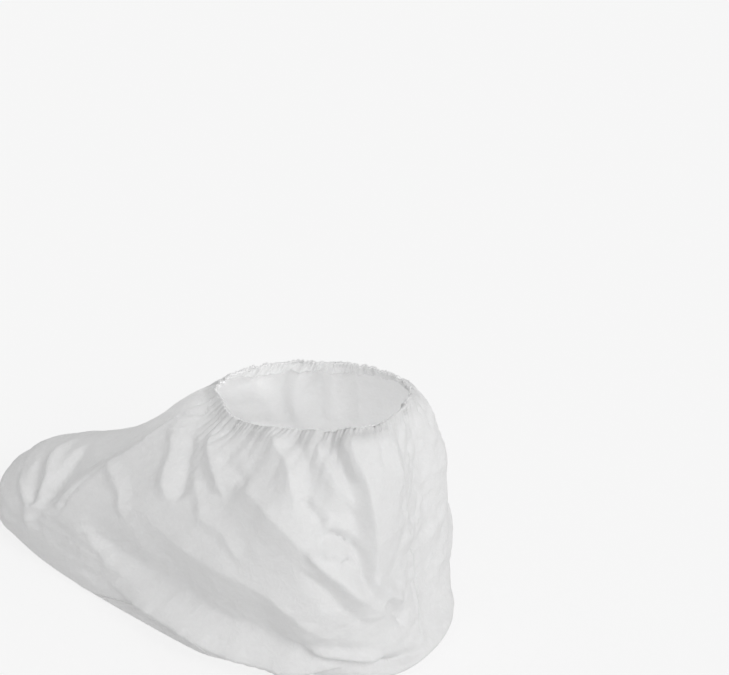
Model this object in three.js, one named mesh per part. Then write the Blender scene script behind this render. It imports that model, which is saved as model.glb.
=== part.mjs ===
// Overshoe: a loose cloth shoe cover that stands open on its sole.
// Millimetres, +Z up. +X is the heel end, -X the toe end, and the sole lies on z = 0.
// Every piece is a thin wall worked out from one surface, placed by two numbers:
// around goes once round the foot (0 heel, 0.25 the -Y side, 0.5 toe, 0.75 the +Y side),
// and reach is the distance in mm along the cloth, from the floor up to the rim.

import * as THREE from 'three';

// Cloth and sewing
const CLOTH_WALL = 1.2;
const SEWN_GAP = 0.3;
const HEM = { wall: 1.4, height: 10 };

// Footprint: a soft loop drawn round these circles
const FOOTPRINT = [
  { x: 129, y: 18, radius: 45.5 },
  { x: 131.5, y: -20.5, radius: 43 },
  { x: 50, y: 25.5, radius: 61.5 },
  { x: 48.5, y: -25.5, radius: 60.5 },
  { x: -146, y: -1, radius: 32 },
];
const FOOTPRINT_SOFTNESS = 5;

// Mouth: a loop through these places, seen from above, in a plane that rises towards the heel.
// It comes to a corner at the front and is roundest at the back.
const RIM = { x: 79, z: 168, girth: 360, tilt: THREE.MathUtils.degToRad(7) };
const RIM_MARKS = [
  { around: 0.0, x: 148, y: 4 },
  { around: 0.06, x: 147, y: -18 },
  { around: 0.12, x: 135, y: -37 },
  { around: 0.2, x: 100, y: -46.5 },
  { around: 0.27, x: 70, y: -48.5 },
  { around: 0.33, x: 47, y: -42 },
  { around: 0.42, x: 23, y: -19 },
  { around: 0.5, x: 9.5, y: -3 },
  { around: 0.55, x: 11.5, y: 15 },
  { around: 0.62, x: 25, y: 37 },
  { around: 0.7, x: 56, y: 50 },
  { around: 0.78, x: 90, y: 52 },
  { around: 0.86, x: 121, y: 43 },
  { around: 0.94, x: 143, y: 23 },
];

// Corner where the wall turns under to the floor: its length along the cloth, how far the flat floor
// starts inside the footprint, and the largest share of that which a leaning wall may take up
const CORNER_REACH = 14;
const CORNER_TUCK = 12;
const CORNER_LEAN = 0.7;

// Side wall by station. lift is the height where the wall leaves its corner; low, mid and high are
// how far it stands out from a straight line up to the rim.
const STATIONS = [
  { around: 0.0, lift: 6, low: -8, mid: 0, high: 0 },
  { around: 0.1, lift: 6, low: 15, mid: -1, high: 20 },
  { around: 0.25, lift: 10, low: 2, mid: 12, high: 7 },
  { around: 0.4, lift: 8, low: 13, mid: 11, high: 6 },
  { around: 0.5, lift: 16, low: 32, mid: -16, high: 7 },
  { around: 0.6, lift: 6, low: 12, mid: 12, high: -3 },
  { around: 0.75, lift: 10, low: 0, mid: 13, high: 9 },
  { around: 0.9, lift: 10, low: 12, mid: 1, high: 19 },
];

// Seam of upper and sole: under the foot at heel and toe, above the corner at the sides
const SEAM = bothSides([
  { around: 0.0, reach: -14 },
  { around: 0.09, reach: -8 },
  { around: 0.15, reach: 16 },
  { around: 0.2, reach: 24 },
  { around: 0.24, reach: 27 },
  { around: 0.29, reach: 20 },
  { around: 0.36, reach: 5 },
  { around: 0.5, reach: -4 },
]);
const SOLE_EDGE = 6;

// Folds of the slumped cloth: a crest (height over 0) or a valley from one place to another.
// up is 0 where the wall leaves its corner and 1 at the rim; bow, width and height are in mm.
const FOLDS = [
  { name: 'instep crease', around: [0.432, 0.405], up: [0.15, 0.97], bow: 4, width: 24, height: 7 },
  { name: 'instep hollow', around: [0.5, 0.5], up: [0.5, 0.95], bow: 0, width: 32, height: -5 },
  { name: 'toe crease', around: [0.5, 0.45], up: [0.4, 0.24], bow: 3, width: 16, height: 4 },
  { name: 'toe pinch', around: [0.487, 0.447], up: [0.31, 0.22], bow: 0, width: 16, height: -4 },
  { name: 'long crest', around: [0.345, 0.065], up: [0.53, 0.1], bow: 21, width: 30, height: 8 },
  { name: 'long valley', around: [0.38, 0.12], up: [0.34, 0.15], bow: 0, width: 20, height: -8 },
  { name: 'ledge crest', around: [0.33, 0.08], up: [0.12, 0.06], bow: 0, width: 16, height: 8 },
  { name: 'diagonal crest', around: [0.285, 0.03], up: [0.85, 0.11], bow: 20, width: 24, height: 9 },
  { name: 'diagonal valley', around: [0.23, 0.07], up: [0.62, 0.18], bow: 10, width: 18, height: -4 },
  { name: 'heel pleat', around: [0.118, 0.077], up: [0.97, 0.3], bow: 8, width: 16, height: 7 },
  { name: 'heel pleat valley', around: [0.128, 0.096], up: [0.94, 0.5], bow: 5, width: 16, height: -5 },
  { name: 'rim pleat one', around: [0.166, 0.09], up: [0.97, 0.68], bow: 3, width: 16, height: 5 },
  { name: 'rim pleat two', around: [0.229, 0.15], up: [0.97, 0.7], bow: 4, width: 16, height: 5 },
  { name: 'rim pleat three', around: [0.345, 0.24], up: [0.93, 0.69], bow: 0, width: 16, height: 4 },
  { name: 'facet edge', around: [0.418, 0.305], up: [0.84, 0.59], bow: 6, width: 18, height: 4.5 },
  { name: 'facet hollow', around: [0.375, 0.296], up: [0.86, 0.6], bow: 0, width: 18, height: -4.5 },
  { name: 'side tuck', around: [0.272, 0.19], up: [0.61, 0.46], bow: 4, width: 16, height: 3 },
  { name: 'heel base tuck', around: [0.12, 0.03], up: [0.11, 0.05], bow: 0, width: 16, height: -4 },
  { name: 'heel seam', around: [0.01, 0.02], up: [0.99, 0.05], bow: 14, width: 16, height: 2.5 },
  { name: 'far instep crease', around: [0.565, 0.577], up: [0.15, 0.98], bow: -4, width: 22, height: 5 },
  { name: 'far long crest', around: [0.645, 0.915], up: [0.5, 0.08], bow: -14, width: 22, height: 6 },
  { name: 'far long valley', around: [0.67, 0.905], up: [0.34, 0.06], bow: -10, width: 19, height: -7 },
  { name: 'far ledge crest', around: [0.69, 0.88], up: [0.13, 0.07], bow: 0, width: 16, height: 6 },
  { name: 'far diagonal crest', around: [0.8, 0.94], up: [0.55, 0.2], bow: -3, width: 19, height: 5 },
  { name: 'far flute one', around: [0.664, 0.71], up: [0.98, 0.46], bow: 0, width: 14, height: -3.5 },
  { name: 'far flute two', around: [0.708, 0.75], up: [0.98, 0.46], bow: 0, width: 14, height: -3.5 },
  { name: 'far flute three', around: [0.735, 0.77], up: [0.98, 0.46], bow: 0, width: 16, height: 3 },
  { name: 'far facet edge', around: [0.59, 0.7], up: [0.57, 0.43], bow: -4, width: 18, height: 5 },
];

// A fold's rounded ridge, its fade at the ends as shares of its length, and its fade above the corner
const FOLD_ROUNDNESS = 2;
const FOLD_END = { before: 0.12, after: 0.16 };
const FOLD_FADE = 0.08;

// Gathers that the elastic draws into the rim: uneven pleats that die out down the wall
const GATHERS = { count: 24, depth: 2, reach: 26, drift: 0.9, driftTurns: 5, uneven: 0.35, unevenTurns: 9 };

// Finishes: white nonwoven cloth, and a greyer coated sole
const FINISHES = {
  upper: { color: 0xe2e2e2, roughness: 0.85 },
  elastic_hem: { color: 0xe8e8e8, roughness: 0.9 },
  sole: { color: 0xd2d2d2, roughness: 0.8 },
};

// Mesh density
const COLUMNS = 96;
const WALL_ROWS = [
  0, 0.03, 0.06, 0.09, 0.13, 0.18, 0.23, 0.28, 0.33, 0.38,
  0.43, 0.49, 0.55, 0.61, 0.67, 0.73, 0.79, 0.85, 0.92, 1,
];
const SOLE_ROWS = [0, 0.45, 0.75, 1];
const HEM_ROWS = [0, 0.5, 1];
const OUTLINE_SAMPLES = 2000;
const STEP_AROUND = 0.0008;
const STEP_REACH = 0.4;

/** A table of half the foot, from heel to toe, with its rows repeated for the other half. */
function bothSides(half) {
  const other = half.slice(1, -1).reverse();
  return [...half, ...other.map((row) => ({ ...row, around: 1 - row.around }))];
}

/** Smooth value of a table column at a place around the foot (cubic through the rows, once round). */
function tableValue(table, column, around) {
  const place = around - Math.floor(around);
  let row = table.length - 1;
  while (table[row].around > place) row -= 1;
  const at = (index) => {
    const laps = Math.floor(index / table.length);
    const found = table[index - laps * table.length];
    return { around: found.around + laps, value: found[column] };
  };
  const [before, from, to, after] = [row - 1, row, row + 1, row + 2].map(at);
  const span = to.around - from.around;
  const slopeFrom = ((to.value - before.value) / (to.around - before.around)) * span;
  const slopeTo = ((after.value - from.value) / (after.around - from.around)) * span;
  const s = (place - from.around) / span;
  return (2 * s ** 3 - 3 * s ** 2 + 1) * from.value + (s ** 3 - 2 * s ** 2 + s) * slopeFrom
    + (3 * s ** 2 - 2 * s ** 3) * to.value + (s ** 3 - s ** 2) * slopeTo;
}

/** Footprint outline sampled by outward direction, heel first and -Y side next, with its running length. */
function traceFootprint() {
  const raw = [];
  let length = 0;
  for (let k = 0; k <= OUTLINE_SAMPLES; k += 1) {
    const angle = (-2 * Math.PI * k) / OUTLINE_SAMPLES;
    const out = { x: Math.cos(angle), y: Math.sin(angle) };
    const pulls = FOOTPRINT.map((c) => (c.x * out.x + c.y * out.y + c.radius) / FOOTPRINT_SOFTNESS);
    const strongest = Math.max(...pulls);
    const weights = pulls.map((pull) => Math.exp(pull - strongest));
    const total = weights.reduce((sum, weight) => sum + weight, 0);
    const support = FOOTPRINT_SOFTNESS * (strongest + Math.log(total));
    const slope = FOOTPRINT.reduce(
      (sum, c, index) => sum + (weights[index] / total) * (c.y * out.x - c.x * out.y), 0);
    const x = support * out.x - slope * out.y;
    const y = support * out.y + slope * out.x;
    if (k > 0) length += Math.hypot(x - raw[k - 1].x, y - raw[k - 1].y);
    raw.push({ x, y, outX: out.x, outY: out.y, length });
  }
  return raw;
}

const OUTLINE = traceFootprint();
const OUTLINE_LENGTH = OUTLINE[OUTLINE_SAMPLES].length;

/** Point and outward direction of the footprint at a place around the foot. */
function footprintAt(around) {
  const target = (around - Math.floor(around)) * OUTLINE_LENGTH;
  let low = 0;
  let high = OUTLINE_SAMPLES;
  while (high - low > 1) {
    const middle = (low + high) >> 1;
    if (OUTLINE[middle].length > target) high = middle;
    else low = middle;
  }
  const a = OUTLINE[low];
  const b = OUTLINE[high];
  const s = (target - a.length) / (b.length - a.length);
  const mix = THREE.MathUtils.lerp;
  return {
    point: new THREE.Vector3(mix(a.x, b.x, s), mix(a.y, b.y, s), 0),
    out: new THREE.Vector3(mix(a.outX, b.outX, s), mix(a.outY, b.outY, s), 0).normalize(),
  };
}

/** Point of the rim at a place around the foot. */
function rimAt(around) {
  const x = tableValue(RIM_MARKS, 'x', around);
  const y = tableValue(RIM_MARKS, 'y', around);
  return new THREE.Vector3(x, y, RIM.z + (x - RIM.x) * Math.tan(RIM.tilt));
}

// Bulge curves: each is 1 at its own peak along the wall
const SKEW_PEAK = 27 / 64;
const EVEN_PEAK = 3 / 8;
const bulgeLow = (t) => (4 * t * (1 - t) ** 3) / SKEW_PEAK;
const bulgeMid = (t) => (6 * t ** 2 * (1 - t) ** 2) / EVEN_PEAK;
const bulgeHigh = (t) => (4 * t ** 3 * (1 - t)) / SKEW_PEAK;
const BULGE_LOW_SLOPE = 4 / SKEW_PEAK;

/** The lines that shape the wall at one place around the foot. */
function sectionAt(around) {
  const { point, out } = footprintAt(around);
  const value = (column) => tableValue(STATIONS, column, around);
  const foot = point.clone().setZ(value('lift'));
  const chord = rimAt(around).sub(foot);
  const height = chord.length();
  const chordWay = chord.clone().divideScalar(height);
  const bulgeWay = out.clone().addScaledVector(chordWay, -out.dot(chordWay)).normalize();
  const low = value('low');
  const startWay = chord.clone().addScaledVector(bulgeWay, low * BULGE_LOW_SLOPE).normalize();
  const lean = THREE.MathUtils.clamp((startWay.dot(out) * foot.z) / startWay.z, 0, CORNER_LEAN * CORNER_TUCK);
  const turn = point.clone().addScaledVector(out, -lean);
  const floor = point.clone().addScaledVector(out, -CORNER_TUCK);
  return { foot, chord, height, bulgeWay, low, mid: value('mid'), high: value('high'), turn, floor, out };
}

/** Point of the smooth surface, before folds: floor, then corner, then side wall. */
function smoothPoint(section, reach) {
  const { foot, chord, height, bulgeWay, turn, floor, out } = section;
  if (reach <= 0) return floor.clone().addScaledVector(out, reach);
  if (reach < CORNER_REACH) {
    const s = reach / CORNER_REACH;
    return floor.clone().multiplyScalar((1 - s) ** 2)
      .addScaledVector(turn, 2 * s * (1 - s)).addScaledVector(foot, s ** 2);
  }
  const t = (reach - CORNER_REACH) / height;
  const bulge = section.low * bulgeLow(t) + section.mid * bulgeMid(t) + section.high * bulgeHigh(t);
  return foot.clone().addScaledVector(chord, t).addScaledVector(bulgeWay, bulge);
}

/** Height of all folds at a place: each is a rounded ridge along a bowed line, fading at its ends. */
function foldHeight(around, up, wallHeight) {
  const girth = THREE.MathUtils.lerp(OUTLINE_LENGTH, RIM.girth, up);
  let total = 0;
  for (const fold of FOLDS) {
    const alongX = (fold.around[1] - fold.around[0]) * girth;
    const alongY = (fold.up[1] - fold.up[0]) * wallHeight;
    const length = Math.hypot(alongX, alongY);
    const turn = around - fold.around[0];
    const fromX = (turn - Math.round(turn)) * girth;
    const fromY = (up - fold.up[0]) * wallHeight;
    const s = (fromX * alongX + fromY * alongY) / length ** 2;
    const side = (fromX * alongY - fromY * alongX) / length - fold.bow * 4 * s * (1 - s);
    const across = Math.max(0, 1 - (side / fold.width) ** 2);
    const fromEnd = Math.min(s, 1 - s);
    const ends = THREE.MathUtils.smoothstep(fromEnd, -FOLD_END.before, FOLD_END.after);
    total += fold.height * across ** FOLD_ROUNDNESS * ends;
  }
  return total * THREE.MathUtils.smoothstep(up, 0, FOLD_FADE);
}

/** Gathers of the rim: pleats that are deepest at the elastic and die out down the wall. */
function gatherHeight(around, fromRim) {
  const angle = 2 * Math.PI * around;
  const phase = GATHERS.count * angle + GATHERS.drift * Math.sin(GATHERS.driftTurns * angle);
  const depth = GATHERS.depth * (1 + GATHERS.uneven * Math.sin(GATHERS.unevenTurns * angle));
  return depth * Math.cos(phase) * Math.exp(-fromRim / GATHERS.reach);
}

/** Reach of the rim at a place around the foot. */
function rimReach(around) {
  return CORNER_REACH + sectionAt(around).height;
}

/** Outward direction of a surface given as a function of around and reach. */
function outwardOf(surface, around, reach) {
  const sideways = surface(around + STEP_AROUND, reach).sub(surface(around - STEP_AROUND, reach));
  const upward = surface(around, reach + STEP_REACH).sub(surface(around, reach - STEP_REACH));
  return upward.cross(sideways).normalize();
}

const smoothSurface = (around, reach) => smoothPoint(sectionAt(around), reach);

/** Point of the outside of the cloth, with its folds and gathers. */
function clothSurface(around, reach) {
  const section = sectionAt(around);
  const point = smoothPoint(section, reach);
  const up = (reach - CORNER_REACH) / section.height;
  if (up <= 0) return point;
  const fromRim = Math.max(0, (1 - up) * section.height);
  const height = foldHeight(around, up, section.height) + gatherHeight(around, fromRim);
  return point.addScaledVector(outwardOf(smoothSurface, around, reach), height);
}

/** Loops of points, one for each row: reachAt(around, row) places them, depth is how far inside the cloth. */
function loops(rows, reachAt, depth) {
  return rows.map((row) => {
    const loop = [];
    for (let column = 0; column < COLUMNS; column += 1) {
      const around = column / COLUMNS;
      const reach = reachAt(around, row);
      const inward = outwardOf(clothSurface, around, reach).multiplyScalar(-depth);
      loop.push(clothSurface(around, reach).add(inward));
    }
    return loop;
  });
}

/** Two triangles of a cell a, b, c, d, parted along the diagonal a to c or b to d. */
function cell(a, b, c, d, alongAC) {
  return alongAC ? [[a, d, c], [a, c, b]] : [[a, d, b], [b, d, c]];
}

/** Triangles of a closed wall between an outer and an inner set of loops. The cells' diagonals lie along
 *  the folds of their side. A capped wall is closed by two flat plates across its first loops, and any
 *  other by a strip between them. */
function closedWall(outer, inner, capped) {
  const points = [...outer.flat(), ...inner.flat()];
  const innerStart = outer.length * COLUMNS;
  const last = outer.length - 1;
  const triangles = [];
  const out = (row, column) => row * COLUMNS + (column % COLUMNS);
  const into = (row, column) => innerStart + out(row, column);
  for (let column = 0; column < COLUMNS; column += 1) {
    const next = column + 1;
    const alongAC = column < COLUMNS / 2;
    for (let row = 0; row < last; row += 1) {
      const above = row + 1;
      const [a, b, c, d] = [out(row, column), out(row, next), out(above, next), out(above, column)];
      triangles.push(...cell(a, b, c, d, alongAC));
      const turned = [d, c, b, a].map((index) => innerStart + index);
      triangles.push(...cell(...turned, !alongAC));
    }
    triangles.push(...cell(out(last, column), out(last, next), into(last, next), into(last, column), true));
    if (!capped) triangles.push(...cell(into(0, column), into(0, next), out(0, next), out(0, column), true));
  }
  if (capped) {
    for (let rib = 0; rib < COLUMNS / 2; rib += 1) {
      const corners = [rib, rib + 1, COLUMNS - rib - 1, COLUMNS - rib];
      const [a, b, c, d] = corners.map((column) => out(0, column));
      const halves = [[a, b, c], [a, c, d]].filter((half) => new Set(half).size === 3);
      for (const [first, second, third] of halves) {
        triangles.push([first, second, third]);
        triangles.push([innerStart + first, innerStart + third, innerStart + second]);
      }
    }
  }
  const geometry = new THREE.BufferGeometry().setFromPoints(points);
  geometry.setIndex(triangles.flat());
  geometry.computeVertexNormals();
  return geometry;
}

const seamReach = (around) => tableValue(SEAM, 'reach', around);

/** Reach of the hem, from its lower edge (row 0) to the rim (row 1). */
const hemReach = (around, row) => rimReach(around) - HEM.height * (1 - row);

/** Upper: from just above the sole seam to the hem, then on behind it to the rim. */
function upperGeometry() {
  const wallReach = (around, row) => THREE.MathUtils.lerp(
    seamReach(around) + SEWN_GAP / 2, hemReach(around, 0), row);
  const side = (depth) => [
    ...loops(WALL_ROWS, wallReach, depth),
    ...loops(HEM_ROWS.slice(1), hemReach, depth),
  ];
  return closedWall(side(0), side(CLOTH_WALL), false);
}

/** Sole: a flat plate whose edge follows the corner up to the seam. */
function soleGeometry() {
  const flatReach = (around) => Math.min(0, seamReach(around)) - SOLE_EDGE;
  const reachAt = (around, row) => THREE.MathUtils.lerp(
    flatReach(around), seamReach(around) - SEWN_GAP / 2, row);
  return closedWall(loops(SOLE_ROWS, reachAt, 0), loops(SOLE_ROWS, reachAt, CLOTH_WALL), true);
}

/** Elastic hem: the band turned in behind the rim. */
function hemGeometry() {
  const depth = CLOTH_WALL + SEWN_GAP;
  return closedWall(loops(HEM_ROWS, hemReach, depth), loops(HEM_ROWS, hemReach, depth + HEM.wall), false);
}

/** One named piece with its own finish. */
function piece(name, geometry) {
  const material = new THREE.MeshStandardMaterial({ ...FINISHES[name], metalness: 0 });
  const mesh = new THREE.Mesh(geometry, material);
  mesh.name = name;
  return mesh;
}

const overshoe = new THREE.Group();
overshoe.add(piece('upper', upperGeometry()));
overshoe.add(piece('elastic_hem', hemGeometry()));
overshoe.add(piece('sole', soleGeometry()));

export default overshoe;
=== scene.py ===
"""Dressed model of a loose cloth overshoe that stands open on its sole.

Lengths are in millimetres until a mesh is made. +X is the heel end, -X the toe end, and the sole lies
on z = 0. Every piece is worked out from one surface, placed by two numbers: around goes once round the
foot (0 heel, 0.25 the -Y side, 0.5 toe, 0.75 the +Y side), and reach is the distance along the cloth,
from the floor up to the rim. The flat sizes of sheets are in metres, as the frame takes them.
"""

import logging
import math
from dataclasses import dataclass, field
from enum import Enum
from typing import Any, NamedTuple

import bpy
import numpy as np
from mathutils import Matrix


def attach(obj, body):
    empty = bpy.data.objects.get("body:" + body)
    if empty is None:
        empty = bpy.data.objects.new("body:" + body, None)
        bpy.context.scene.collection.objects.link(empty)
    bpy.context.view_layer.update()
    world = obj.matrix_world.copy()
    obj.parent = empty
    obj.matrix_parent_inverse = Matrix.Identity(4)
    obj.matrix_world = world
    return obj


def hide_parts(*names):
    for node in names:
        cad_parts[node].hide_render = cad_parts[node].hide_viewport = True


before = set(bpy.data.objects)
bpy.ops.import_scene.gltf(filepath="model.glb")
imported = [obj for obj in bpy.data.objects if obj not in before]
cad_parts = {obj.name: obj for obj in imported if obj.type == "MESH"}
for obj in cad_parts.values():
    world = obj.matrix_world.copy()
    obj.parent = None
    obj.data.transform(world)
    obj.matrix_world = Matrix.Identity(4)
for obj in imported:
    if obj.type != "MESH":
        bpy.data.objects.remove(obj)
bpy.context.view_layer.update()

LOG = logging.getLogger("overshoe")
BODY = "root"
MM = 0.001

Array = np.ndarray


class Slot(Enum):
    """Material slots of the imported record."""

    UPPER = "upper_cloth"
    HEM = "hem_cloth"
    SOLE = "sole_grip"


class Held(Enum):
    """Ways in which a sheet of cloth is held."""

    GATHERED = "gathered"
    LAID = "laid"


class Side(Enum):
    """Sides of the cover: NEAR faces -Y, and FAR faces +Y."""

    NEAR = 1
    FAR = -1


class Circle(NamedTuple):
    """A circle that the footprint is drawn round."""

    x: float
    y: float
    radius: float


class Station(NamedTuple):
    """Side wall at one place: where it leaves its corner, and how far it stands out on its way up."""

    around: float
    lift: float
    low: float
    mid: float
    high: float


class SeamMark(NamedTuple):
    """Place of the seam between upper and sole."""

    around: float
    reach: float


class RimMark(NamedTuple):
    """Place of the rim, seen from above."""

    around: float
    x: float
    y: float


class Fold(NamedTuple):
    """A crest (height over 0) or valley along a path of (around, up) places, from its toe or top end.

    up is 0 where the wall leaves its corner and 1 at the rim. lit is the width in mm of the flank on the
    heel or upper side, shade that of the other, and crest the rounding of the line between them. rise is the
    share of the line over which it comes up from nothing.
    """

    name: str
    path: tuple[tuple[float, float], ...]
    height: float
    lit: float
    shade: float
    crest: float = 0.6
    side: Side = Side.NEAR
    rise: float = 0.22


class Gather(NamedTuple):
    """One size of the puffs that the elastic draws into the rim, fading over reach mm down the wall."""

    count: int
    depth: float
    reach: float
    drift: float
    drift_turns: int


class Crumple(NamedTuple):
    """One size of the creases all over the cloth: width of a facet in mm, height in mm on the smooth side
    facets, at the heel and along the foot of the wall, and random seed."""

    cell: float
    side: float
    heel: float
    low: float
    seed: int


FOLDS = (
    Fold("instep crease", ((0.405, 0.97), (0.421, 0.83), (0.422, 0.66), (0.43, 0.45), (0.432, 0.15)),
         8, 34, 24),
    Fold("instep tuck", ((0.43, 0.6), (0.428, 0.44), (0.42, 0.28)), -1.6, 6, 6),
    Fold("toe left arm", ((0.482, 0.24), (0.464, 0.24), (0.452, 0.22), (0.432, 0.12)), 3.5, 7, 7),
    Fold("toe right arm", ((0.505, 0.41), (0.478, 0.36), (0.464, 0.34), (0.454, 0.28), (0.432, 0.13)),
         5, 9, 9, 1),
    Fold("toe hollow", ((0.485, 0.31), (0.464, 0.29), (0.448, 0.24)), -3, 9, 8, 1.5),
    Fold("toe dark facet", ((0.49, 0.48), (0.47, 0.42), (0.456, 0.36), (0.443, 0.25)), -5, 24, 7, 1.5),
    Fold("toe side lump", ((0.434, 0.57), (0.382, 0.54), (0.345, 0.44)), 3.5, 12, 11),
    Fold("facet edge", ((0.418, 0.83), (0.379, 0.8), (0.353, 0.74), (0.333, 0.67), (0.305, 0.59)),
         4, 26, 13),
    Fold("rim tuck", ((0.4, 0.95), (0.418, 0.9), (0.437, 0.83)), -3.5, 6, 6),
    Fold("rim pleat three", ((0.345, 0.93), (0.298, 0.83), (0.268, 0.77), (0.24, 0.69)), 5.5, 18, 12),
    Fold("rim pit", ((0.375, 0.87), (0.34, 0.79), (0.315, 0.71), (0.296, 0.6)), -5, 12, 17, 1.5),
    Fold("short ridge", ((0.3, 0.74), (0.276, 0.67), (0.252, 0.6)), 1.6, 8, 9),
    Fold("long crest", ((0.345, 0.52), (0.269, 0.46), (0.227, 0.43), (0.188, 0.41), (0.159, 0.37),
         (0.136, 0.31), (0.114, 0.24), (0.084, 0.15)), 9, 50, 32),
    Fold("long valley", ((0.4, 0.36), (0.35, 0.28), (0.29, 0.21), (0.25, 0.2), (0.2, 0.165), (0.15, 0.13),
         (0.1, 0.07)), -9, 34, 15, 7),
    Fold("ledge crest", ((0.33, 0.09), (0.255, 0.08), (0.21, 0.07), (0.15, 0.06), (0.08, 0.05)),
         12, 17, 8, 2),
    Fold("diagonal crest", ((0.285, 0.83), (0.24, 0.785), (0.203, 0.735), (0.172, 0.68), (0.145, 0.615),
         (0.122, 0.535), (0.099, 0.44), (0.075, 0.32), (0.045, 0.18)), 14, 36, 54, rise=0.4),
    Fold("diagonal valley", ((0.145, 0.53), (0.115, 0.43), (0.098, 0.34), (0.078, 0.25)), -3, 8, 11, 1),
    Fold("leaf valley", ((0.134, 0.64), (0.118, 0.64), (0.101, 0.59), (0.09, 0.51), (0.082, 0.38)),
         -7, 7, 8, 0.8),
    Fold("leaf crest", ((0.14, 0.61), (0.125, 0.56), (0.1, 0.46), (0.082, 0.34)), 4, 12, 8),
    Fold("leaf rib", ((0.13, 0.59), (0.114, 0.59), (0.096, 0.53), (0.086, 0.43)), 4, 6, 6),
    Fold("leaf crease", ((0.11, 0.56), (0.096, 0.51), (0.084, 0.41)), -5.5, 6, 7),
    Fold("side tuck", ((0.272, 0.61), (0.241, 0.58), (0.218, 0.56), (0.19, 0.47)), 2.6, 14, 9),
    Fold("side wrinkle", ((0.29, 0.84), (0.246, 0.8), (0.212, 0.75)), -2.6, 8, 7),
    Fold("rim pleat two", ((0.258, 1.07), (0.229, 0.97), (0.208, 0.92), (0.183, 0.86), (0.15, 0.7)),
         7, 12, 24),
    Fold("rim pleat one", ((0.19, 1.07), (0.16, 0.94), (0.136, 0.87), (0.112, 0.79), (0.096, 0.7)),
         5.5, 9, 16),
    Fold("rim pleat valley", ((0.18, 1.02), (0.155, 0.95), (0.13, 0.88), (0.108, 0.79)), -3.5, 8, 9),
    Fold("rim pleat step", ((0.15, 1.04), (0.138, 0.98), (0.12, 0.92), (0.1, 0.82)), 3.5, 7, 7),
    Fold("rim notch", ((0.162, 0.77), (0.153, 0.75), (0.139, 0.71), (0.128, 0.67)), -3.5, 7, 8, 0.8),
    Fold("heel pleat", ((0.14, 1.07), (0.123, 0.97), (0.101, 0.86), (0.091, 0.78), (0.081, 0.59),
         (0.079, 0.35)), 10, 40, 9),
    Fold("heel pleat valley", ((0.124, 0.9), (0.108, 0.78), (0.1, 0.66), (0.094, 0.48)), -2, 8, 8, 1.2),
    Fold("panel pleat", ((0.072, 1.05), (0.06, 0.92), (0.057, 0.84), (0.048, 0.7)), 2.8, 9, 9),
    Fold("panel tuck", ((0.09, 1.04), (0.078, 0.94), (0.074, 0.84)), -2, 6, 6),
    Fold("low leaf crest", ((0.085, 0.47), (0.075, 0.42), (0.06, 0.34), (0.039, 0.26)), 4.5, 9, 9),
    Fold("low leaf hollow", ((0.067, 0.34), (0.055, 0.26), (0.034, 0.15)), -4.5, 9, 8),
    Fold("base ridge", ((0.13, 0.15), (0.093, 0.11), (0.06, 0.08)), 5, 8, 6),
    Fold("base fold", ((0.118, 0.115), (0.08, 0.05), (0.053, 0.04), (0.01, 0.012)), -8, 9, 7),
    Fold("instep crease", ((0.425, 1.02), (0.43, 0.7), (0.435, 0.15)), 6, 28, 20, 1, Side.FAR),
    Fold("long crest", ((0.355, 0.5), (0.25, 0.42), (0.16, 0.3), (0.085, 0.08)), 10, 40, 20, 0.6, Side.FAR),
    Fold("long valley", ((0.33, 0.34), (0.24, 0.28), (0.15, 0.18), (0.095, 0.06)),
         -6, 14, 22, 2.5, Side.FAR),
    Fold("ledge crest", ((0.31, 0.13), (0.22, 0.09), (0.12, 0.07)), 8, 18, 9, 2, Side.FAR),
    Fold("diagonal crest", ((0.2, 0.55), (0.13, 0.4), (0.06, 0.2)), 6, 18, 24, 0.6, Side.FAR),
    Fold("flute one", ((0.4, 0.99), (0.35, 0.78), (0.323, 0.64), (0.3, 0.44)), -2.4, 13, 15, 3, Side.FAR),
    Fold("flute two", ((0.338, 1.0), (0.325, 0.8), (0.29, 0.44)), 2.6, 9, 10, 2, Side.FAR),
    Fold("flute three", ((0.322, 1.0), (0.305, 0.76), (0.275, 0.44)), -3.6, 14, 8, 0.8, Side.FAR),
    Fold("flute four", ((0.292, 1.0), (0.272, 0.76), (0.25, 0.44)), 3, 10, 12, 3, Side.FAR),
    Fold("flute five", ((0.27, 1.0), (0.25, 0.75), (0.232, 0.44)), -3.2, 16, 10, 3, Side.FAR),
    Fold("flute six", ((0.236, 1.0), (0.222, 0.75), (0.21, 0.44)), 2, 9, 9, 2, Side.FAR),
    Fold("facet edge", ((0.41, 0.56), (0.35, 0.5), (0.3, 0.42)), 2.5, 20, 13, 0.6, Side.FAR),
    Fold("side tuck", ((0.275, 0.42), (0.21, 0.34), (0.19, 0.28)), 3, 11, 7, 0.6, Side.FAR),
)

HEEL_SEAM = Fold("heel seam", ((0.008, 1.03), (0.02, 0.95), (0.041, 0.84), (0.044, 0.72), (0.034, 0.53),
                               (0.016, 0.36), (0.014, 0.2), (0.022, 0.05)), 1.6, 4, 5)

GATHERS = (
    Gather(count=150, depth=1.5, reach=4.0, drift=1.4, drift_turns=7),
    Gather(count=52, depth=2.0, reach=15.0, drift=1.8, drift_turns=5),
    Gather(count=21, depth=1.5, reach=36.0, drift=1.2, drift_turns=3),
)

# Facets of the crumple, in widths of a facet: length round the foot, spread of tilt and level, doming
# towards the edges, and how many rows of neighbours can reach a place.
FACET_STRETCH = 1.5
FACET_TILT = 0.75
FACET_LEVEL = 0.35
FACET_DOME = 1.1
FACET_NEIGHBOURS = 2

CRUMPLES = (
    Crumple(cell=30.0, side=0.4, heel=0.4, low=0.4, seed=11),
    Crumple(cell=13.0, side=0.2, heel=0.45, low=0.45, seed=29),
    Crumple(cell=6.5, side=0.08, heel=0.48, low=0.4, seed=43),
)


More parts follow.
